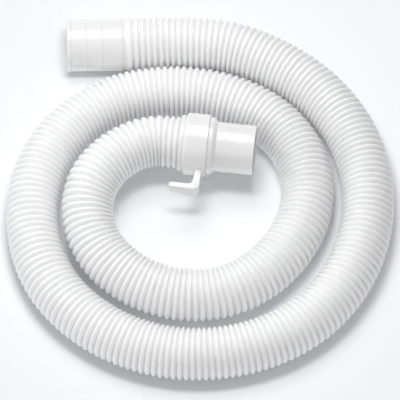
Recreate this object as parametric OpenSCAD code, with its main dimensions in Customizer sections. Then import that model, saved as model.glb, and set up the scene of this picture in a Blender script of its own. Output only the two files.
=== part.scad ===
// Pool and spa vacuum hose: a ribbed hose lying in a loose flat coil, with a plain cuff on its
// outer end and a swivel cuff with a lever-turned lock collar on its inner end.
// The origin is the centre of the plain cuff's mouth. +X runs along that cuff into the hose, and +Z is up.
// The hose lies on a floor half a hose diameter below the origin.

/* [Hose] */
// Outside diameter over the ribs
hose_od = 46; // [44:0.5:47]
// Depth of a rib, from its crest to the valley beside it
rib_depth = 2.7; // [1.5:0.1:3.2]
// Wall between a valley and the bore
hose_wall = 1.3; // [0.8:0.1:1.8]
// Ribs from one cuff to the other
ribs = 190; // [60:1:200]
// Ribs of the stretch that flexes when the swivel end is lifted
flex_ribs = 7; // [5:1:9]
// Straight run at each end of the hose
straight_run = 34; // [32:0.5:42]

/* [Pipe] */
// Outside diameter of the pipe that both cuffs take
pipe_d = 38.1; // [37:0.1:38.5]
// Radial gap between the pipe and a cuff
pipe_gap = 0.15; // [0.05:0.05:0.3]

/* [Plain cuff] */
// Length from the mouth to the hose
plain_cuff_len = 49.5; // [44:0.5:54]
// Wall round the pipe
plain_cuff_wall = 3.55; // [2.8:0.05:3.75]
// Length of the closed end that stops the pipe
plain_stop_len = 5.5; // [4.5:0.5:8]
// Distance of the first raised line from the mouth
line_1_at = 15; // [8:0.5:20]
// Distance of the second raised line from the mouth
line_2_at = 28.5; // [23:0.5:36]
// Width of a raised line
line_w = 1.4; // [0.8:0.1:3]
// Height of a raised line
line_h = 0.2; // [0.1:0.05:0.5]
// Length of the slimmer band beside the hose
band_len = 2.5; // [1.5:0.5:4]
// Depth of the slimmer band
band_depth = 0.8; // [0.4:0.1:1.2]
// Length of the tail that goes into the hose
tail_len = 9; // [5:1:14]
// Wall of the tail
tail_wall = 1.4; // [1:0.1:2]

/* [Hose sleeve] */
// Length of hose held in the sleeve
hose_insert = 22; // [18:0.5:24]
// Amount by which the hose's ribs are pressed in, on the radius, where the sleeve holds it
hose_squeeze = 1.1; // [0.8:0.1:1.4]
// Wall round the hose
sleeve_wall = 1.5; // [1:0.1:2.5]
// Height of the nose rim above the sleeve's barrel
nose_lip = 0.7; // [0.5:0.1:1.5]
// Length of the nose rim
nose_len = 3.7; // [2.5:0.1:6]
// Thickness of the web that the hose butts against
web_len = 2.9; // [2.6:0.1:4]
// Part of the web left between the hose's end and the grooves for the collar's lugs
web_wall = 0.7; // [0.5:0.1:1]
// Lip that stops the pipe in the swivel cuff, on the radius
stop_lip = 0.8; // [0.4:0.1:1.2]
// Wall of the neck that the swivel cuff turns on
neck_wall = 2.5; // [2:0.1:3]
// Length of neck past the seal
neck_lip = 0.6; // [0.4:0.1:1]

/* [Lock collar] */
// Wall of the collar
collar_wall = 2.95; // [2.6:0.05:4]
// Rounding of the collar's edge on the hose side
collar_round = 2; // [0.5:0.1:2.2]
// Angle that the collar turns through
lock_turn = 90; // [45:5:90]
// Angle that one lug takes up
lug_angle = 14; // [8:1:20]
// Height of a lug above the collar's bore
lug_h = 1.7; // [1:0.1:1.8]

/* [Lever] */
// Distance from the axis to the outer face of the arm
lever_reach = 46; // [40:0.5:55]
// Thickness of the arm
lever_arm_t = 4.9; // [3:0.1:6]
// Width of the stem along the hose's axis
lever_stem_w = 5.3; // [4:0.1:7]
// Length of the lever along the hose's axis, from the stem's front face to the tip
lever_len = 26.6; // [20:0.5:34]
// Height of the lever's top above the axis
lever_top = 6.3; // [4:0.1:8]
// Height of the stem
lever_h = 15.3; // [11:0.1:18]
// Height of the arm at its tip
lever_tip_h = 9.7; // [5:0.1:11]
// Distance from the collar's front edge to the stem
lever_setback = 2.5; // [1.2:0.1:3]
// Radius in the inner corner
lever_fillet = 3; // [1:0.5:5]
// Radius round the outer corner
lever_corner = 5; // [2:0.5:7]
// Radius of the tip
lever_tip_r = 2; // [0.5:0.1:2.3]
// Depth of the collar's pocket floor above the collar's bore
pocket_floor = 0.8; // [0.5:0.1:1.2]

/* [Swivel cuff] */
// Wall of the spout
spout_wall = 2.2; // [1.5:0.1:3]
// Length of the spout
spout_len = 32.6; // [26:0.1:34.5]
// Length of the shoulder ring
shoulder_len = 4.2; // [3:0.1:6]
// Wall of the shoulder ring outside the retaining ring
shoulder_wall = 2.7; // [1.5:0.1:2.9]
// Length of the cone from the shoulder ring to the spout
cone_len = 3.1; // [2.5:0.1:6]

/* [Retaining ring and seal] */
// Width of the split ring
ring_w = 1.2; // [0.8:0.1:1.4]
// Distance of the split ring from the cuff's back face
ring_at = 1.2; // [1:0.1:1.4]
// Depth of the ring's groove in the neck
ring_bite = 0.9; // [0.6:0.1:1.2]
// Height of the ring above the neck
ring_proud = 1.3; // [0.8:0.1:1.5]
// Opening of the split ring
ring_split_angle = 24; // [10:1:40]
// Thickness of the sealing ring
seal_d = 0.9; // [0.7:0.1:1]
// Distance from the split ring's front face to the middle of the sealing ring
seal_at = 1.6; // [1.5:0.1:1.7]

/* [Clearances] */
// Gap between faces that turn on each other
run_gap = 0.2; // [0.1:0.05:0.3]
// Gap between flat faces that pass each other
face_gap = 0.3; // [0.2:0.05:0.4]
// Gap round pieces that are fitted together
fit_gap = 0.1; // [0.05:0.05:0.2]
// Seam between the collar and the swivel cuff
seam = 0.6; // [0.4:0.1:0.9]
// Rounding of the mouldings' outer edges
edge_r = 1; // [0.4:0.1:1.2]

/* [Hidden] */
$fn = 96;
edge_steps = 5;

// Hose section: eight corners, two on each side of the four main flats, so that the hose stands on a flat.
SIDES = 8;
flat_half_angle = 18;
corners = [for (quarter = [0:90:270], side = [-1, 1]) quarter + side * flat_half_angle];
crest_r = hose_od / 2;
valley_r = crest_r - rib_depth;
bore_r = valley_r - hose_wall;
// Distance of the diagonal flats from the axis, as a share of the main flats' distance
diagonal_share = cos(45 - flat_half_angle) / cos(flat_half_angle);

// Centre of the swivel end's back face, the direction in which it points, and the way to that point.
end_point = [94, -107.5, 25];
end_heading = -8.1;
end_dir = [cos(end_heading), sin(end_heading), 0];
// Middle of the hose between its straight ends, in the order that it is laid.
laid_points = [
    [128, -2, 0], [153, -9, 0], [193, -30, 0], [228, -64, 0], [250, -107, 0], [257, -155, 0], [249, -202, 0],
    [227, -245, 0], [191, -278, 0], [145, -296, 0], [97, -300, 0], [49, -289, 0], [7, -263, 0],
    [-24, -225, 0], [-36, -178, 0], [-32, -129, 0], [-9, -85, 0], [31, -55, 0], [79, -45, 0], [127, -50, 0],
    [172, -71, 0], [202, -111, 0], [206, -161, 0], [183, -206, 0], [145, -237, 0], [97, -245, 0],
    [48.5, -229.5, 3], [13.8, -194, 10], [11, -151, 19], [29, -124, 24], [55, -107.9, 25]
];
// Control points of a straight run are a quarter of it apart, and reach one step past each of its ends.
run_steps = 4;
run_step = straight_run / run_steps;
start_run = [for (i = [-1:run_steps + 1]) [plain_cuff_len + i * run_step, 0, 0]];
end_run = [for (i = [-1:run_steps + 1]) end_point + (hose_insert - straight_run + i * run_step) * end_dir];
control_points = concat(start_run, laid_points, end_run);

// The route is the uniform cubic B-spline of the control points, read by its own length.
spans = len(control_points) - 3;
steps_per_span = 16;
function spline(t) =
    let (i = min(floor(t), spans - 1), u = t - i, p = control_points)
    (pow(1 - u, 3) * p[i] + (3 * u * u * u - 6 * u * u + 4) * p[i + 1]
        + (-3 * u * u * u + 3 * u * u + 3 * u + 1) * p[i + 2] + u * u * u * p[i + 3]) / 6;
route_samples = [for (k = [0:spans * steps_per_span]) spline(k / steps_per_span)];
length_to = [
    for (k = 0, s = 0; k < len(route_samples);
        s = s + (k + 1 < len(route_samples) ? norm(route_samples[k + 1] - route_samples[k]) : 0), k = k + 1) s
];
length_table = [for (k = [0:len(length_to) - 1]) [length_to[k], k / steps_per_span]];
hose_len = length_to[len(length_to) - 1];
free_len = hose_len - hose_insert;
rib_pitch = free_len / ribs;
function route(s) = spline(lookup(s, length_table));
function route_dir(s) =
    let (a = route(max(s - 0.5, 0)), b = route(min(s + 0.5, hose_len)))
    (b - a) / norm(b - a);
function side_dir(dir) = let (n = cross([0, 0, 1], dir)) n / norm(n);
// Eight corners of the section at s, whose flats lie r from the axis.
function ring(s, r) =
    let (c = route(s), t = route_dir(s), n = side_dir(t), up = cross(t, n))
    [for (a = corners) c + r / cos(flat_half_angle) * (cos(a) * n + sin(a) * up)];

// Rings of one stretch of hose, from rib a to rib b, each given as [length along the hose, radius].
function rib_rings(a, b) = concat(
    [for (i = [a:b - 1]) each [[i * rib_pitch, valley_r], [(i + 0.5) * rib_pitch, crest_r]]],
    [[b * rib_pitch, valley_r]]
);
function bore_rings(a, b) = [for (i = concat([for (k = [a:2:b - 1]) k], b)) [i * rib_pitch, bore_r]];

// Faces between neighbouring rings; first is the number of the first ring's first point.
function skin(count, first, outward) = [
    for (i = [0:count - 2], j = [0:SIDES - 1])
        let (a = first + i * SIDES + j, b = first + i * SIDES + (j + 1) % SIDES, c = a + SIDES, d = b + SIDES)
        each outward ? [[a, c, b], [b, c, d]] : [[a, b, c], [b, d, c]]
];
function end_face(outer, inner, outward) = [
    for (j = [0:SIDES - 1])
        let (a = outer + j, b = outer + (j + 1) % SIDES, c = inner + j, d = inner + (j + 1) % SIDES)
        each outward ? [[a, b, c], [b, d, c]] : [[a, c, b], [b, c, d]]
];

module hose_stretch(outer, inner) {
    points = [for (station = concat(outer, inner)) each ring(station[0], station[1])];
    inner_first = len(outer) * SIDES;
    polyhedron(
        points = points,
        faces = concat(
            skin(len(outer), 0, true),
            skin(len(inner), inner_first, false),
            end_face(0, inner_first, true),
            end_face(inner_first - SIDES, len(points) - SIDES, false)
        ),
        convexity = 10
    );
}

// Where the flexing stretch begins, and how the hose ends in its sleeve.
flex_from = ribs - flex_ribs;
flex_pivot = route(flex_from * rib_pitch);
held_corner_r = crest_r - hose_squeeze;
held_r = held_corner_r * cos(flat_half_angle);
held_from = free_len + face_gap;

// Both cuffs' bore.
cuff_bore_r = pipe_d / 2 + pipe_gap;

// Plain cuff.
plain_cuff_r = cuff_bore_r + plain_cuff_wall;
tail_r = bore_r * diagonal_share - fit_gap;
tail_bore_r = tail_r - tail_wall;

// Swivel end, measured along its axis from the sleeve's back face.
socket_r = held_corner_r + run_gap;
barrel_r = socket_r + sleeve_wall;
nose_r = barrel_r + nose_lip;
web_end = hose_insert + web_len;
shoulder_from = web_end + face_gap;
collar_bore_r = barrel_r + run_gap;
collar_r = collar_bore_r + collar_wall;
collar_from = nose_len + run_gap;
collar_to = shoulder_from - seam;
groove_from = hose_insert + web_wall;
lug_from = groove_from + face_gap;
lug_to = collar_to - run_gap;
lug_r = collar_bore_r - lug_h;
lug_angles = [45, 225];
// Spare angle at each end of a lug's groove
lug_play = 1;
neck_bore_r = cuff_bore_r - stop_lip;
neck_r = neck_bore_r + neck_wall;
cavity_r = neck_r + run_gap;
ring_from = shoulder_from + ring_at;
ring_to = ring_from + ring_w;
ring_r = neck_r + ring_proud;
ring_groove_r = ring_r + face_gap;
shoulder_r = ring_groove_r + shoulder_wall;
seal_mid = ring_to + seal_at;
seal_mid_r = neck_r + face_gap + seal_d / 2;
seal_groove_w = seal_d + fit_gap;
neck_end = seal_mid + seal_groove_w / 2 + neck_lip;
cavity_end = neck_end + face_gap;
cone_end = shoulder_from + shoulder_len + cone_len;
spout_r = cuff_bore_r + spout_wall;
spout_end = cone_end + spout_len;

// Lever, in the collar's pocket.
stem_front = collar_to - lever_setback;
stem_back = stem_front - lever_stem_w;
lever_tip = stem_front - lever_len;
arm_inner = lever_reach - lever_arm_t;
pocket_r = collar_bore_r + pocket_floor;

function arc(centre, r, from, to) = [
    for (i = [0:edge_steps])
        let (a = from + (to - from) * i / edge_steps)
        centre + r * [cos(a), sin(a)]
];

// Turns a profile of [radius, distance along the axis] about +X.
module turned(profile) {
    rotate([0, 90, 0])
        rotate_extrude()
            polygon(profile);
}

// The swivel end's own frame: +Z along its axis, away from the hose.
module on_end_axis() {
    translate(end_point)
        rotate([0, 0, end_heading])
            rotate([0, 90, 0])
                children();
}

// The lever's frame on that axis: X along the axis, Y out along the stem and Z down.
module on_lever() {
    on_end_axis()
        rotate(180, [1, 0, 1])
            children();
}

module hose_coil() {
    color("whitesmoke")
        hose_stretch(rib_rings(0, flex_from), bore_rings(0, flex_from));
}

module hose_flex() {
    held = [[held_from, held_r], [hose_len, held_r]];
    color("whitesmoke")
        hose_stretch(
            concat(rib_rings(flex_from, ribs), held),
            concat(bore_rings(flex_from, ribs), [[hose_len, bore_r]])
        );
}

module plain_cuff() {
    hose_face = plain_cuff_len;
    band_from = plain_cuff_len - band_len;
    band_r = plain_cuff_r - band_depth;
    stop_at = plain_cuff_len - plain_stop_len;
    lines = [
        for (at = [line_1_at, line_2_at])
            each [
                [plain_cuff_r, at - line_w / 2], [plain_cuff_r + line_h, at - line_w / 4],
                [plain_cuff_r + line_h, at + line_w / 4], [plain_cuff_r, at + line_w / 2]
            ]
    ];
    color("white")
        turned(concat(
            [[cuff_bore_r, 0]],
            arc([plain_cuff_r - edge_r, edge_r], edge_r, -90, 0),
            lines,
            [
                [plain_cuff_r, band_from - band_depth], [band_r, band_from], [band_r, hose_face],
                [tail_r, hose_face], [tail_r, hose_face + tail_len], [tail_bore_r, hose_face + tail_len],
                [tail_bore_r, stop_at], [cuff_bore_r, stop_at]
            ]
        ));
}

// The nose rim and barrel that hold the hose, the web that it butts against, and the neck for the cuff.
module hose_sleeve() {
    groove_r = lug_r - face_gap;
    groove_angle = lock_turn + lug_angle + 2 * lug_play;
    color("white")
        on_end_axis()
            difference() {
                rotate_extrude()
                    polygon(concat(
                        [[socket_r, 0]],
                        arc([nose_r - edge_r / 2, edge_r / 2], edge_r / 2, -90, 0),
                        [
                            [nose_r, nose_len], [barrel_r, nose_len], [barrel_r, web_end], [neck_r, web_end],
                            [neck_r, ring_from - fit_gap], [neck_r - ring_bite, ring_from - fit_gap],
                            [neck_r - ring_bite, ring_to + fit_gap], [neck_r, ring_to + fit_gap],
                            [neck_r, neck_end], [neck_bore_r, neck_end],
                            [neck_bore_r, hose_insert], [socket_r, hose_insert]
                        ]
                    ));
                for (a = lug_angles)
                    rotate([0, 0, a - lug_angle / 2 - lock_turn - lug_play])
                        rotate_extrude(angle = groove_angle)
                            translate([groove_r, groove_from])
                                square([barrel_r - groove_r + 1, web_end - groove_from + 1]);
            }
}

// The collar turns on the sleeve's barrel, and its two lugs stop in the web's grooves.
module lock_collar() {
    color("white")
        on_end_axis() {
            difference() {
                rotate_extrude()
                    polygon(concat(
                        [[collar_bore_r, collar_from]],
                        arc([collar_r - collar_round, collar_from + collar_round], collar_round, -90, 0),
                        arc([collar_r - edge_r / 2, collar_to - edge_r / 2], edge_r / 2, 0, 90),
                        [[collar_bore_r, collar_to]]
                    ));
                rotate(180, [1, 0, 1])
                    translate([stem_back - fit_gap, pocket_r, -lever_top - fit_gap])
                        cube([lever_stem_w + 2 * fit_gap, collar_wall + 1, lever_h + 2 * fit_gap]);
            }
            for (a = lug_angles)
                rotate([0, 0, a - lug_angle / 2])
                    rotate_extrude(angle = lug_angle)
                        translate([lug_r, lug_from])
                            square([collar_bore_r + collar_wall / 2 - lug_r, lug_to - lug_from]);
        }
}

// An arm along the hose on a short stem. The arm's lower edge rises towards its tip.
module lock_lever() {
    outline = concat(
        [[stem_back, pocket_r + fit_gap]],
        arc([stem_back - lever_fillet, arm_inner - lever_fillet], lever_fillet, 0, 90),
        arc([lever_tip + lever_tip_r, arm_inner + lever_tip_r], lever_tip_r, 270, 180),
        arc([lever_tip + lever_tip_r, lever_reach - lever_tip_r], lever_tip_r, 180, 90),
        arc([stem_front - lever_corner, lever_reach - lever_corner], lever_corner, 90, 0),
        [[stem_front, pocket_r + fit_gap]]
    );
    side = [
        [lever_tip, -lever_top], [stem_front, -lever_top], [stem_front, lever_h - lever_top],
        [stem_back, lever_h - lever_top], [lever_tip, lever_tip_h - lever_top]
    ];
    color("white")
        on_lever()
            intersection() {
                translate([0, 0, -lever_top])
                    linear_extrude(lever_h)
                        polygon(outline);
                translate([0, lever_reach + 1, 0])
                    rotate([90, 0, 0])
                        linear_extrude(lever_reach + 1)
                            polygon(side);
            }
}

// Open ring in the neck's groove, which keeps the swivel cuff on.
module split_ring() {
    color("lightgray")
        on_end_axis()
            rotate([0, 0, ring_split_angle / 2])
                rotate_extrude(angle = 360 - ring_split_angle)
                    translate([neck_r - ring_bite + fit_gap / 2, ring_from])
                        square([ring_proud + ring_bite - fit_gap / 2, ring_w]);
}

// A groove of radius r in the cavity's wall, from its front edge to its back edge.
function cavity_groove(r, front, back) = [[cavity_r, front], [r, front], [r, back], [cavity_r, back]];

module swivel_cuff() {
    mouth = [
        [spout_r, cone_end], [spout_r, spout_end - edge_r / 2], [spout_r - edge_r / 2, spout_end],
        [cuff_bore_r, spout_end], [cuff_bore_r, cavity_end], [cavity_r, cavity_end]
    ];
    color("white")
        on_end_axis()
            rotate_extrude()
                polygon(concat(
                    [[cavity_r, shoulder_from]],
                    arc([shoulder_r - edge_r / 2, shoulder_from + edge_r / 2], edge_r / 2, -90, 0),
                    arc([shoulder_r - edge_r, shoulder_from + shoulder_len - edge_r], edge_r, 0, 45),
                    mouth,
                    cavity_groove(seal_mid_r + seal_groove_w / 2, seal_mid + seal_groove_w / 2,
                        seal_mid - seal_groove_w / 2),
                    cavity_groove(ring_groove_r, ring_to + run_gap, ring_from - run_gap)
                ));
}

// Rubber ring in the swivel cuff's own groove, round the neck.
module seal_ring() {
    color("dimgray")
        on_end_axis()
            translate([0, 0, seal_mid])
                rotate_extrude()
                    translate([seal_mid_r, 0])
                        circle(d = seal_d, $fn = 24);
}

// Least gap between the hose's own laps: each crest's corners and flats against every lap beside it.
lap_apart = 3 * hose_od;
near_enough = 1.4 * hose_od;
crests = [for (i = [0:ribs - 1]) let (s = (i + 0.5) * rib_pitch) [s, route(s), route_dir(s)]];
function section_gap(p, c, t) =
    let (n = side_dir(t), up = cross(t, n), x = abs((p - c) * n), y = abs((p - c) * up))
    max(x - crest_r, y - crest_r, (x + y) / sqrt(2) - diagonal_share * crest_r);
function mid_flats(points) = [for (j = [0:SIDES - 1]) (points[j] + points[(j + 1) % SIDES]) / 2];
lap_gap = min([
    for (a = crests, b = crests)
        if (abs(b[0] - a[0]) > lap_apart && norm(b[1] - a[1]) < near_enough)
            let (corner_points = ring(a[0], crest_r))
            for (p = concat(corner_points, mid_flats(corner_points)))
                if (abs((p - b[1]) * b[2]) < rib_pitch) section_gap(p, b[1], b[2])
]);
echo(hose_length = hose_len, rib_pitch = rib_pitch, least_gap_between_laps = lap_gap);
echo(flex_pivot = flex_pivot, swivel_cuff_mouth = end_point + spout_end * end_dir);

hose_coil();
hose_flex();
plain_cuff();
hose_sleeve();
lock_collar();
lock_lever();
split_ring();
swivel_cuff();
seal_ring();
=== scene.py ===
"""A ribbed pool vacuum hose in a loose flat coil, with a plain cuff and a lever-locked swivel cuff.
Lengths are in metres where nothing else is said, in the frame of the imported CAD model."""

import math

import bmesh
import bpy
import numpy as np
from mathutils import Matrix, Vector


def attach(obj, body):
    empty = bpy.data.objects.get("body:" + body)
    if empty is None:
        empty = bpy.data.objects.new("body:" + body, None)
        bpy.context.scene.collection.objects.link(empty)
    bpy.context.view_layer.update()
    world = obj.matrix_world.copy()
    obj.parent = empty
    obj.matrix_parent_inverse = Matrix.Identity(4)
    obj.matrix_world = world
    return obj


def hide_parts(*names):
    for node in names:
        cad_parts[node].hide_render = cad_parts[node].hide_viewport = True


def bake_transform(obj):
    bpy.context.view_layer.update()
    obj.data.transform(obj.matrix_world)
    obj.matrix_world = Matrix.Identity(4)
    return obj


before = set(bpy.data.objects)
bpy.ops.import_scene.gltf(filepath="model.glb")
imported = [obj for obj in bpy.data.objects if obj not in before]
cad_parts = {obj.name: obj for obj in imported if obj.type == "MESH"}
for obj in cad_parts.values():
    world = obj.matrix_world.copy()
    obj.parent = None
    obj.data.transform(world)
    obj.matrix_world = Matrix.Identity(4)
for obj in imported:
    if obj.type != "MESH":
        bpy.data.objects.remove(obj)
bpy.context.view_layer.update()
MM = 0.001
Z = np.array([0.0, 0.0, 1.0])

# ---------------------------------------------------------------- camera
FLOOR = -0.023
VIEW_WIDTH = 0.344
VIEW_HEADING = math.radians(1.5)
VIEW_ELEVATION = math.radians(64)
VIEW_CENTRE = Vector((0.1107, -0.1393, FLOOR))
CAMERA_AWAY = 2.0

right = Vector((math.cos(VIEW_HEADING), -math.sin(VIEW_HEADING), 0))
away = Vector((math.sin(VIEW_HEADING), math.cos(VIEW_HEADING), 0))
to_camera = math.sin(VIEW_ELEVATION) * Vector((0, 0, 1)) - math.cos(VIEW_ELEVATION) * away
picture_up = to_camera.cross(right)
camera_data = bpy.data.cameras.new("camera")
camera_data.type = "ORTHO"
camera_data.ortho_scale = VIEW_WIDTH
camera_data.clip_start, camera_data.clip_end = 0.01, 50
camera = bpy.data.objects.new("camera", camera_data)
camera.matrix_world = Matrix.Translation(VIEW_CENTRE + CAMERA_AWAY * to_camera) @ Matrix(
    (right, picture_up, to_camera)
).transposed().to_4x4()
bpy.context.scene.collection.objects.link(camera)
bpy.context.scene.camera = camera

# ---------------------------------------------------------------- route of the hose, as in the CAD source
CUFF_LEN = 0.0495
STRAIGHT_RUN = 0.034
RUN_STEPS = 4
HOSE_INSERT = 0.022
END_POINT = np.array([0.094, -0.1075, 0.025])
END_HEADING = math.radians(-8.1)
END_DIR = np.array([math.cos(END_HEADING), math.sin(END_HEADING), 0.0])
LAID_POINTS = [
    (0.128, -0.002, 0), (0.153, -0.009, 0), (0.193, -0.030, 0), (0.228, -0.064, 0), (0.250, -0.107, 0),
    (0.257, -0.155, 0), (0.249, -0.202, 0), (0.227, -0.245, 0), (0.191, -0.278, 0), (0.145, -0.296, 0),
    (0.097, -0.300, 0), (0.049, -0.289, 0), (0.007, -0.263, 0), (-0.024, -0.225, 0), (-0.036, -0.178, 0),
    (-0.032, -0.129, 0), (-0.009, -0.085, 0), (0.031, -0.055, 0), (0.079, -0.045, 0), (0.127, -0.050, 0),
    (0.172, -0.071, 0), (0.202, -0.111, 0), (0.206, -0.161, 0), (0.183, -0.206, 0), (0.145, -0.237, 0),
    (0.097, -0.245, 0), (0.0485, -0.2295, 0.003), (0.0138, -0.194, 0.010), (0.011, -0.151, 0.019),
    (0.029, -0.124, 0.024), (0.055, -0.1079, 0.025),
]
SAMPLES_PER_SPAN = 64
DIRECTION_REACH = 0.0005  # how far to each side of a point the hose's direction is measured

run = STRAIGHT_RUN / RUN_STEPS
steps = range(-1, RUN_STEPS + 2)
control = np.array(
    [(CUFF_LEN + i * run, 0, 0) for i in steps]
    + LAID_POINTS
    + [END_POINT + (HOSE_INSERT - STRAIGHT_RUN + i * run) * END_DIR for i in steps],
    float,
)


def spline(t):
    """Points on the uniform cubic B-spline of the control points, at these places, counted in spans."""
    i = np.minimum(np.floor(t).astype(int), len(control) - 4)
    u = (t - i)[:, None]
    weights = (
        (1 - u) ** 3 / 6,
        (3 * u**3 - 6 * u**2 + 4) / 6,
        (-3 * u**3 + 3 * u**2 + 3 * u + 1) / 6,
        u**3 / 6,
    )
    return sum(w * control[i + k] for k, w in enumerate(weights))


SPANS = len(control) - 3
span_places = np.linspace(0, SPANS, SPANS * SAMPLES_PER_SPAN + 1)
span_steps = np.linalg.norm(np.diff(spline(span_places), axis=0), axis=1)
lengths = np.concatenate([[0], np.cumsum(span_steps)])
HOSE_LEN = lengths[-1]
FREE_LEN = HOSE_LEN - HOSE_INSERT


def route(s):
    """Points on the hose's centreline at these lengths along it."""
    return spline(np.interp(s, lengths, span_places))


def route_frame(s):
    """Centre, level side direction and up direction of the hose's section at these lengths."""
    ahead = route(np.minimum(s + DIRECTION_REACH, HOSE_LEN)) - route(np.maximum(s - DIRECTION_REACH, 0))
    ahead /= np.linalg.norm(ahead, axis=1)[:, None]
    side = np.cross(Z, ahead)
    side /= np.linalg.norm(side, axis=1)[:, None]
    return route(s), side, np.cross(ahead, side)


# ---------------------------------------------------------------- hose
CREST_R = 0.023
VALLEY_R = 0.0203
BORE_R = 0.019
RIB_SHAPE = 1.05  # 1 makes sharp valleys between round crests, and more widens the valleys
RIB_STEPS = 8  # rings of points to a rib
AROUND = 40  # points to a ring
BORE_STEP = 0.010  # between the bore's rings
HELD_R = 0.0220  # of the plain end that the sleeve grips
HELD_GAP = 0.0003
CAD_RIBS, CAD_FLEX_RIBS = 190, 7
HOSE_SMOOTH_ANGLE = 70  # degrees: faces that meet at less are shaded as one
FLEX_FROM = FREE_LEN * (CAD_RIBS - CAD_FLEX_RIBS) / CAD_RIBS
NECK = 0.6  # the hose's height between the plain cuff and its first rib, as a share of a rib's height
# The hose's width, which narrows a little beside the swivel end: (length along it, share of full width).
WIDTH = [
    (0, 1), (1.33, 1), (1.37, 0.965), (1.41, 0.985), (1.45, 0.94), (1.475, 0.945), (1.497, 0.98), (1.6, 0.98),
]
PITCH_SAMPLES = 2000
# Rib pitch in mm, which is stretched in places: (length along the hose, pitch).
PITCH = [
    (0, 9.0), (0.004, 7.5), (0.009, 5.3), (0.08, 5.3), (0.16, 4.95), (0.24, 5.12), (0.32, 5.3), (0.38, 5.55),
    (0.46, 5.3), (0.56, 5.0), (0.64, 5.42), (0.74, 5.5), (0.80, 5.2), (0.86, 4.9), (0.92, 4.88), (0.98, 5.2),
    (1.04, 4.8), (1.14, 5.35), (1.20, 5.08), (1.28, 5.2), (1.36, 5.0), (1.40, 5.1), (1.6, 5.2),
]


def along_hose(table, s):
    """What a table of (length along the hose, value) gives at these lengths."""
    return np.interp(s, [row[0] for row in table], [row[1] for row in table])


def rib_places(start, end):
    """How many ribs lie before each ring of points, and the rings' lengths along the hose from start to end.
    The ribs are spaced by PITCH, stretched a little to give a whole number of them."""
    s = np.linspace(start, end, PITCH_SAMPLES)
    pitch = along_hose(PITCH, s) * MM
    count = np.concatenate([[0], np.cumsum((s[1:] - s[:-1]) / ((pitch[1:] + pitch[:-1]) / 2))])
    total = round(count[-1])
    wanted = np.arange(total * RIB_STEPS + 1) / RIB_STEPS
    return wanted, np.interp(wanted, count * total / count[-1], s)


def rib_heights(start, end):
    """Lengths along the hose from start to end, and how high its outside is there, from 0 in a groove to 1 on
    a rib."""
    count, s = rib_places(start, end)
    height = np.abs(np.sin(math.pi * count)) ** RIB_SHAPE
    if start == 0:
        height = np.where(count < 0.5, np.maximum(height, NECK), height)
    return s, height


def mesh_object(name, verts, faces, smooth_angle=None):
    mesh = bpy.data.meshes.new(name)
    mesh.from_pydata([tuple(v) for v in verts], [], faces)
    mesh.validate()
    mesh.update()
    mesh.shade_smooth()
    if smooth_angle is not None:
        mesh.set_sharp_from_angle(angle=math.radians(smooth_angle))
    obj = bpy.data.objects.new(name, mesh)
    bpy.context.scene.collection.objects.link(obj)
    return obj


def hose_piece(name, start, end, held=False):
    """A closed tube, ribbed outside and plain inside, and its middle line.
    held adds the end that the sleeve grips."""
    s, height = rib_heights(start, end)
    r = VALLEY_R + (CREST_R - VALLEY_R) * height
    last = end
    if held:
        s = np.concatenate([s, [FREE_LEN + HELD_GAP, HOSE_LEN]])
        r = np.concatenate([r, [HELD_R, HELD_R]])
        last = HOSE_LEN
    inner = np.linspace(last, start, max(2, round((last - start) / BORE_STEP)) + 1)
    stations = np.concatenate([s, inner])
    radii = np.concatenate([r, np.full(len(inner), BORE_R)])
    centre, side, up = route_frame(stations)
    side = side * along_hose(WIDTH, stations)[:, None]
    angle = np.arange(AROUND) * 2 * math.pi / AROUND
    verts = (
        centre[:, None, :]
        + radii[:, None, None] * (np.cos(angle)[None, :, None] * side[:, None, :]
                                  + np.sin(angle)[None, :, None] * up[:, None, :])
    ).reshape(-1, 3)
    faces = []
    n = len(stations)
    for i in range(n):
        a, b = i * AROUND, ((i + 1) % n) * AROUND
        for j in range(AROUND):
            k = (j + 1) % AROUND
            faces.append((a + j, a + k, b + k, b + j))
    return mesh_object(name, verts, faces, HOSE_SMOOTH_ANGLE), centre[: len(s)]


hose, hose_line = hose_piece("hose_ribs", 0, FLEX_FROM)
hose_end, _ = hose_piece("hose_end_ribs", FLEX_FROM, FREE_LEN, held=True)


# ---------------------------------------------------------------- turned and moulded pieces
STRAIGHT_CORNER = 178  # degrees, from which a corner counts as straight and isn't rounded
SIDE_SHARE = 0.49  # how much of a side one corner's rounding may take up
# How far a support point lies from its rounding: in radii, and at most, as a share of what the side has left.
SUPPORT, SUPPORT_SHARE = 0.25, 0.3
MOULDED_SMOOTH_ANGLE = 35  # degrees: faces that meet at less are shaded as one


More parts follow.
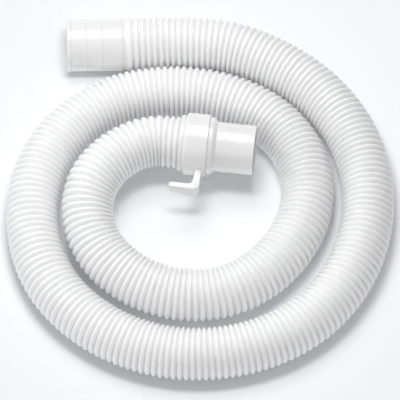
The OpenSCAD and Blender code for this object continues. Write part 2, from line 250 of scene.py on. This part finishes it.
def fillet(points, steps=5):
    """A closed outline from corners (x, y, radius), in mm. Each corner is rounded, and has a support point
    close by on each side, which keeps the faces beside it flat in the shading."""
    out = []
    count = len(points)
    for i, (x, y, r) in enumerate(points):
        p = np.array([x, y], float)
        if r <= 0:
            out.append(p)
            continue
        a = np.array(points[i - 1][:2], float) - p
        b = np.array(points[(i + 1) % count][:2], float) - p
        la, lb = np.linalg.norm(a), np.linalg.norm(b)
        a, b = a / la, b / lb
        turn = math.acos(np.clip(np.dot(a, b), -1, 1))
        if turn > math.radians(STRAIGHT_CORNER):
            out.append(p)
            continue
        reach = min(r / math.tan(turn / 2), SIDE_SHARE * la, SIDE_SHARE * lb)
        radius = reach * math.tan(turn / 2)
        middle = p + (a + b) / np.linalg.norm(a + b) * radius / math.sin(turn / 2)
        first, last = p + a * reach - middle, p + b * reach - middle
        swing = math.atan2(first[0] * last[1] - first[1] * last[0], np.dot(first, last))
        support = min(SUPPORT * r, SUPPORT_SHARE * (la - reach))
        out.append(p + a * (reach + support))
        for k in range(steps + 1):
            t = swing * k / steps
            c, s = math.cos(t), math.sin(t)
            out.append(middle + np.array([c * first[0] - s * first[1], s * first[0] + c * first[1]]))
        support = min(SUPPORT * r, SUPPORT_SHARE * (lb - reach))
        out.append(p + b * (reach + support))
    return out


def turned(name, outline, place, around=128):
    """Turns a closed outline of (along, radius), in mm, about the X axis of place, a 4x4 matrix."""
    verts, faces = [], []
    m = len(outline)
    for i in range(around):
        angle = 2 * math.pi * i / around
        c, s = math.cos(angle), math.sin(angle)
        for x, r in outline:
            verts.append(place @ Vector((x * MM, r * c * MM, r * s * MM)))
    for i in range(around):
        after = (i + 1) % around
        for j in range(m):
            k = (j + 1) % m
            faces.append((i * m + j, i * m + k, after * m + k, after * m + j))
    obj = mesh_object(name, verts, faces)
    clean(obj)
    obj.data.set_sharp_from_angle(angle=math.radians(MOULDED_SMOOTH_ANGLE))
    return obj


def clean(obj):
    """Joins doubled points, such as those on an outline's corners, and turns the faces outwards."""
    bm = bmesh.new()
    bm.from_mesh(obj.data)
    bmesh.ops.remove_doubles(bm, verts=bm.verts, dist=2e-7)
    bmesh.ops.dissolve_degenerate(bm, edges=bm.edges, dist=1e-7)
    bmesh.ops.recalc_face_normals(bm, faces=bm.faces)
    bm.to_mesh(obj.data)
    bm.free()
    obj.data.shade_smooth()


CUFF_PLACE = Matrix.Identity(4)
END_PLACE = Matrix.Translation(Vector(END_POINT)) @ Matrix.Rotation(END_HEADING, 4, "Z")

# Plain cuff: a lip, two fine ridges at which it widens a little, and a slimmer band beside the hose.
plain_cuff = turned("plain_cuff_shell", fillet([
    (0, 19.6, 0.3), (0, 22.75, 0.9), (3.1, 22.75, 0.7), (3.6, 22.3, 0.3),
    (14.4, 22.35, 0.5), (15.0, 22.72, 0.3), (16.0, 22.72, 0.3), (16.5, 22.42, 0.5),
    (27.6, 22.5, 0.5), (28.2, 22.98, 0.35), (29.7, 22.98, 0.35), (30.3, 22.68, 0.5),
    (47.2, 22.78, 0.6), (47.8, 21.95, 0.3), (49.5, 21.95, 0.4), (49.5, 17.7, 0),
    (58.5, 17.7, 0.3), (58.5, 16.3, 0.2), (44.0, 16.3, 0.3), (44.0, 19.2, 0.2), (0.5, 19.2, 0.2),
]), CUFF_PLACE)

sleeve = turned("sleeve_shell", fillet([
    (0, 22.3, 0.3), (0, 24.3, 1.1), (3.7, 24.3, 0.9), (3.7, 23.6, 0), (24.9, 23.6, 0.2), (24.9, 20.9, 0),
    (26.3, 20.9, 0), (26.3, 20.0, 0), (27.7, 20.0, 0), (27.7, 20.9, 0), (30.3, 20.9, 0.2), (30.3, 18.4, 0.2),
    (22.0, 18.4, 0.2), (22.0, 22.1, 0), (0.4, 22.1, 0)]), END_PLACE)

# Lock collar: it flares from the sleeve's nose rim, and its front edge nearly meets the swivel cuff.
collar = turned("collar_shell", fillet([
    (3.9, 23.8, 0.1), (3.9, 24.2, 0.25), (6.0, 26.75, 1.3), (24.98, 26.75, 0.2), (24.98, 23.8, 0.2)]),
    END_PLACE, around=144)

cuff_outline = fillet([
    (25.06, 21.1, 0.1), (25.06, 25.25, 0.25), (28.9, 24.9, 2.0), (32.2, 21.4, 0.4),
    (63.6, 21.4, 0.3), (63.9, 21.55, 0.2), (65.1, 21.5, 0.35), (65.1, 19.4, 0.3), (64.7, 19.2, 0.2),
    (30.6, 19.2, 0.2), (30.6, 21.1, 0.1), (29.8, 21.1, 0), (29.8, 22.2, 0), (28.7, 22.2, 0), (28.7, 21.1, 0),
    (27.8, 21.1, 0), (27.8, 22.5, 0), (26.2, 22.5, 0), (26.2, 21.1, 0)])
cuff = turned("swivel_cuff_shell", cuff_outline, END_PLACE, around=144)

# Lever: an arm on a short stem, in mm along the end's axis, out from it and up.
LEVER_TOP, LEVER_FOOT, LEVER_TIP_FOOT = 6.3, -9.0, -3.4
STEM_BACK, STEM_BACK_LOW, STEM_FRONT, STEM_FRONT_LOW, LEVER_TIP = 16.7, 15.2, 22.1, 21.7, -4.5
ARM_IN, ARM_OUT, ARM_OUT_TIP, STEM_FROM = 40.6, 46.0, 45.2, 24.75
LEVER_EDGE = 0.55
BEVELLED_ANGLE = 50  # degrees: edges where faces meet at more are rounded
lever_outline = fillet([
    (STEM_BACK, STEM_FROM, 0), (STEM_BACK_LOW, ARM_IN, 4.0), (LEVER_TIP, ARM_IN, 1.7),
    (LEVER_TIP, ARM_OUT_TIP, 1.7), (STEM_FRONT_LOW, ARM_OUT, 5.2), (STEM_FRONT, STEM_FROM, 0)], steps=8)
bm = bmesh.new()
top, foot = [], []
for u, v in lever_outline:
    share = max(0.0, min(1.0, (STEM_BACK - u) / (STEM_BACK - LEVER_TIP)))
    low = LEVER_FOOT + (LEVER_TIP_FOOT - LEVER_FOOT) * share
    top.append(bm.verts.new(END_PLACE @ Vector((u * MM, -v * MM, LEVER_TOP * MM))))
    foot.append(bm.verts.new(END_PLACE @ Vector((u * MM, -v * MM, low * MM))))
bm.faces.new(top)
bm.faces.new(list(reversed(foot)))
for i in range(len(top)):
    k = (i + 1) % len(top)
    bm.faces.new((top[k], top[i], foot[i], foot[k]))
bmesh.ops.recalc_face_normals(bm, faces=bm.faces)
rim = [e for e in bm.edges if e.calc_face_angle(0) > math.radians(BEVELLED_ANGLE)]
bmesh.ops.bevel(bm, geom=rim, offset=LEVER_EDGE * MM, segments=3, profile=0.5, affect="EDGES")
lever_mesh = bpy.data.meshes.new("lever_shell")
bm.to_mesh(lever_mesh)
bm.free()
lever_mesh.shade_smooth()
lever_mesh.set_sharp_from_angle(angle=math.radians(MOULDED_SMOOTH_ANGLE))
lever = bpy.data.objects.new("lever_shell", lever_mesh)
bpy.context.scene.collection.objects.link(lever)


# ---------------------------------------------------------------- materials
MOTTLE_SIZE, MOTTLE = 0.012, 0.02  # size and depth of the faint clouds in every colour
CLOUD_LOW, CLOUD_HIGH = 0.3, 0.7  # where nearly all of the clouds' noise lies
GRAIN_SIZE, GRAIN_HEIGHT = 0.0004, 0.0001  # the fine bumps of a moulded surface
ROUGHNESS_SPREAD = 0.15


def material(name, colour, roughness, bump=0.0, specular=0.5, metallic=0.0, valley=None):
    """A clouded plastic or metal. The last argument is a colour of painted shade, which multiplies it where
    the point attribute of the same name is 1.
    """
    m = bpy.data.materials.new(name)
    m.use_nodes = True
    nt = m.node_tree
    n, link = nt.nodes, nt.links.new
    shader = n["Principled BSDF"]
    shader.inputs["Metallic"].default_value = metallic
    shader.inputs["Specular IOR Level"].default_value = specular
    place = n.new("ShaderNodeNewGeometry")
    cloud = n.new("ShaderNodeTexNoise")
    cloud.inputs["Scale"].default_value = 1 / MOTTLE_SIZE
    cloud.inputs["Detail"].default_value = 3
    link(place.outputs["Position"], cloud.inputs["Vector"])
    ramp = n.new("ShaderNodeMapRange")
    ramp.inputs["From Min"].default_value, ramp.inputs["From Max"].default_value = CLOUD_LOW, CLOUD_HIGH
    ramp.inputs["To Min"].default_value, ramp.inputs["To Max"].default_value = 1 - MOTTLE, 1 + MOTTLE / 2
    link(cloud.outputs["Fac"], ramp.inputs["Value"])
    tint = n.new("ShaderNodeVectorMath")
    tint.operation = "SCALE"
    tint.inputs[0].default_value = colour
    link(ramp.outputs["Result"], tint.inputs["Scale"])
    colour_out = tint.outputs["Vector"]
    # Painted shade: the colour is darkened where the hose's point attribute asks for it.
    if valley:
        attribute = n.new("ShaderNodeAttribute")
        attribute.attribute_name = "valley"
        mix = n.new("ShaderNodeMix")
        mix.data_type = "RGBA"
        mix.blend_type = "MULTIPLY"
        mix.inputs["B"].default_value = (*valley, 1)
        link(attribute.outputs["Fac"], mix.inputs["Factor"])
        link(colour_out, mix.inputs["A"])
        colour_out = mix.outputs["Result"]
    link(colour_out, shader.inputs["Base Color"])
    rough = n.new("ShaderNodeMapRange")
    rough.inputs["From Min"].default_value, rough.inputs["From Max"].default_value = CLOUD_LOW, CLOUD_HIGH
    rough.inputs["To Min"].default_value = roughness * (1 - ROUGHNESS_SPREAD)
    rough.inputs["To Max"].default_value = roughness * (1 + ROUGHNESS_SPREAD)
    link(cloud.outputs["Fac"], rough.inputs["Value"])
    link(rough.outputs["Result"], shader.inputs["Roughness"])
    if bump:
        fine = n.new("ShaderNodeTexNoise")
        fine.inputs["Scale"].default_value = 1 / GRAIN_SIZE
        fine.inputs["Detail"].default_value = 2
        link(place.outputs["Position"], fine.inputs["Vector"])
        bumps = n.new("ShaderNodeBump")
        bumps.inputs["Strength"].default_value = bump
        bumps.inputs["Distance"].default_value = GRAIN_HEIGHT
        link(fine.outputs["Fac"], bumps.inputs["Height"])
        link(bumps.outputs["Normal"], shader.inputs["Normal"])
    return m


# The hose's darker valley colour is painted shade, for the valleys between ribs and the underside.
hose_white = material("hose_white", (0.92, 0.92, 0.92), 0.36, bump=0.06, valley=(0.82, 0.82, 0.83))
cuff_white = material("cuff_white", (0.87, 0.87, 0.87), 0.16, bump=0.02, specular=0.8)
collar_white = material("collar_white", (0.87, 0.87, 0.87), 0.18, bump=0.02, specular=0.8)
lever_white = material("lever_white", (0.82, 0.82, 0.82), 0.2, bump=0.02, specular=0.7)
ring_steel = material("ring_steel", (0.60, 0.60, 0.61), 0.28, metallic=1.0)
seal_black = material("seal_black", (0.03, 0.03, 0.032), 0.5, bump=0.1)


def dress(obj, mat):
    obj.data.materials.clear()
    obj.data.materials.append(mat)


# Painted shade in the valleys between ribs: its share on the hose's top, and how much more of it there is
# towards the underside, which gets less light.
PAINTED_SHADE_ON_TOP, PAINTED_SHADE_DOWNWARDS = 0.15, 2.4


def mark_valleys(obj, start, end):
    """Stores how much painted shade each point of a hose piece takes, for its material: it follows the
    valleys between ribs and grows towards the underside.
    """
    depth = 1 - rib_heights(start, end)[1]
    rings = len(obj.data.vertices) // AROUND
    full = np.zeros(rings)
    full[: len(depth)] = depth
    low = 0.5 - 0.5 * np.sin(np.arange(AROUND) * 2 * math.pi / AROUND)
    value = full[:, None] * np.clip(PAINTED_SHADE_ON_TOP + PAINTED_SHADE_DOWNWARDS * low, 0, 1)[None, :]
    attribute = obj.data.attributes.new("valley", "FLOAT", "POINT")
    attribute.data.foreach_set("value", value.ravel().astype(np.float32))


mark_valleys(hose, 0, FLEX_FROM)
mark_valleys(hose_end, FLEX_FROM, FREE_LEN)
for obj, mat in ((hose, hose_white), (hose_end, hose_white), (plain_cuff, cuff_white), (sleeve, cuff_white),
                 (collar, collar_white), (lever, lever_white), (cuff, cuff_white)):
    dress(obj, mat)
for node, mat in (("split_ring", ring_steel), ("seal_ring", seal_black)):
    dress(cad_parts[node], mat)

# ---------------------------------------------------------------- bodies
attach(hose, "hose")
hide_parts("hose_coil")
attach(plain_cuff, "hose")
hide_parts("plain_cuff")
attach(sleeve, "hose_end")
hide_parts("hose_sleeve")
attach(collar, "lock")
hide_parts("lock_collar")
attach(lever, "lock")
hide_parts("lock_lever")
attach(cuff, "swivel")
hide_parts("swivel_cuff")
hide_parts("hose_flex")
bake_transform(hose_end)

# ---------------------------------------------------------------- floor and light
FLOOR_SIZE = 8
FLOOR_CLEARANCE = 0.00005
floor_centre = (VIEW_CENTRE.x, VIEW_CENTRE.y, FLOOR - FLOOR_CLEARANCE)
bpy.ops.mesh.primitive_plane_add(size=FLOOR_SIZE, location=floor_centre)
floor = bpy.context.object
floor.name = "floor"
floor_white = bpy.data.materials.new("floor_white")
floor_white.use_nodes = True
nodes, link = floor_white.node_tree.nodes, floor_white.node_tree.links.new
floor_shader = nodes["Principled BSDF"]
floor_shader.inputs["Base Color"].default_value = (0.878, 0.882, 0.901, 1)
floor_shader.inputs["Roughness"].default_value = 0.9
floor_shader.inputs["Specular IOR Level"].default_value = 0.1
FLOOR_GLOW = 0.05  # share of plain white that the camera and reflections see in the floor
glow = nodes.new("ShaderNodeEmission")
rays = nodes.new("ShaderNodeLightPath")
reflected = nodes.new("ShaderNodeMath")
reflected.operation = "MAXIMUM"
link(rays.outputs["Is Glossy Ray"], reflected.inputs[0])
link(rays.outputs["Is Transmission Ray"], reflected.inputs[1])
seen = nodes.new("ShaderNodeMath")
seen.operation = "MAXIMUM"
link(rays.outputs["Is Camera Ray"], seen.inputs[0])
link(reflected.outputs["Value"], seen.inputs[1])
share = nodes.new("ShaderNodeMath")
share.operation = "MULTIPLY"
share.inputs[1].default_value = FLOOR_GLOW
link(seen.outputs["Value"], share.inputs[0])
mix = nodes.new("ShaderNodeMixShader")
link(share.outputs["Value"], mix.inputs["Fac"])
link(floor_shader.outputs["BSDF"], mix.inputs[1])
link(glow.outputs["Emission"], mix.inputs[2])
link(mix.outputs["Shader"], nodes["Material Output"].inputs["Surface"])
dress(floor, floor_white)


# The floor and the part have lamps of their own, so that each can be as bright as in the photo.
def softbox(name, tilt, swing, distance, size, radiance, glossy=False, diffuse=True, on=None, shadow=True):
    """An area light seen from the view's centre at tilt degrees behind the vertical and swing to the left.
    on is the collection that it lights, where that isn't everything."""
    t, s = math.radians(tilt), math.radians(swing)
    direction = (math.cos(t) * Vector((0, 0, 1)) + math.sin(t) * away).normalized()
    direction = (math.cos(s) * direction - math.sin(s) * right).normalized()
    data = bpy.data.lights.new(name, "AREA")
    data.shape = "RECTANGLE"
    data.size, data.size_y = size
    data.energy = radiance * math.pi * size[0] * size[1]
    light = bpy.data.objects.new(name, data)
    across = (right - right.dot(direction) * direction).normalized()
    light.matrix_world = Matrix.Translation(VIEW_CENTRE + distance * direction) @ Matrix(
        (across, direction.cross(across), direction)).transposed().to_4x4()
    light.visible_glossy = glossy
    light.visible_diffuse = diffuse
    data.use_shadow = shadow
    if on:
        light.light_linking.receiver_collection = on
    bpy.context.scene.collection.objects.link(light)


def lit_together(name, objects):
    """A collection that only says what a lamp lights."""
    together = bpy.data.collections.new(name)
    for obj in objects:
        together.objects.link(obj)
    return together


ground = lit_together("ground", [floor])
ribbed = lit_together("ribbed", [hose, hose_end])
whole = lit_together("whole", [hose, hose_end, plain_cuff, sleeve, collar, lever, cuff,
                               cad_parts["split_ring"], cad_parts["seal_ring"]])
softbox("gloss", 26, 8, 1.3, (2.4, 0.95), 1.85, glossy=True, diffuse=False)
softbox("floor_key_high", -2, 2, 1.1, (0.34, 0.16), 32.0, on=ground)
softbox("floor_key_low", 14, 5, 1.2, (0.45, 0.4), 5.8, on=ground)
softbox("key", 33, 6, 1.3, (0.8, 0.6), 6.1, on=whole)
softbox("side_fill", 0, 75, 1.5, (0.5, 0.45), 5.8, on=whole)
softbox("front_fill", -40, 9, 0.7, (0.4, 0.3), 2.5, on=whole)
softbox("low_fill", -110, 0, 1.5, (0.5, 0.45), 1.6, on=ribbed, shadow=False)
WORLD_STRENGTH = 0.42
world = bpy.data.worlds.new("world")
bpy.context.scene.world = world
world.use_nodes = True
world.node_tree.nodes["Background"].inputs["Color"].default_value = (1, 1, 1, 1)
world.node_tree.nodes["Background"].inputs["Strength"].default_value = WORLD_STRENGTH

bpy.context.scene.view_settings.view_transform = "Standard"
# White ribs side by side pass light on many times.
bpy.context.scene.cycles.diffuse_bounces = 8
bpy.context.scene.cycles.max_bounces = 16
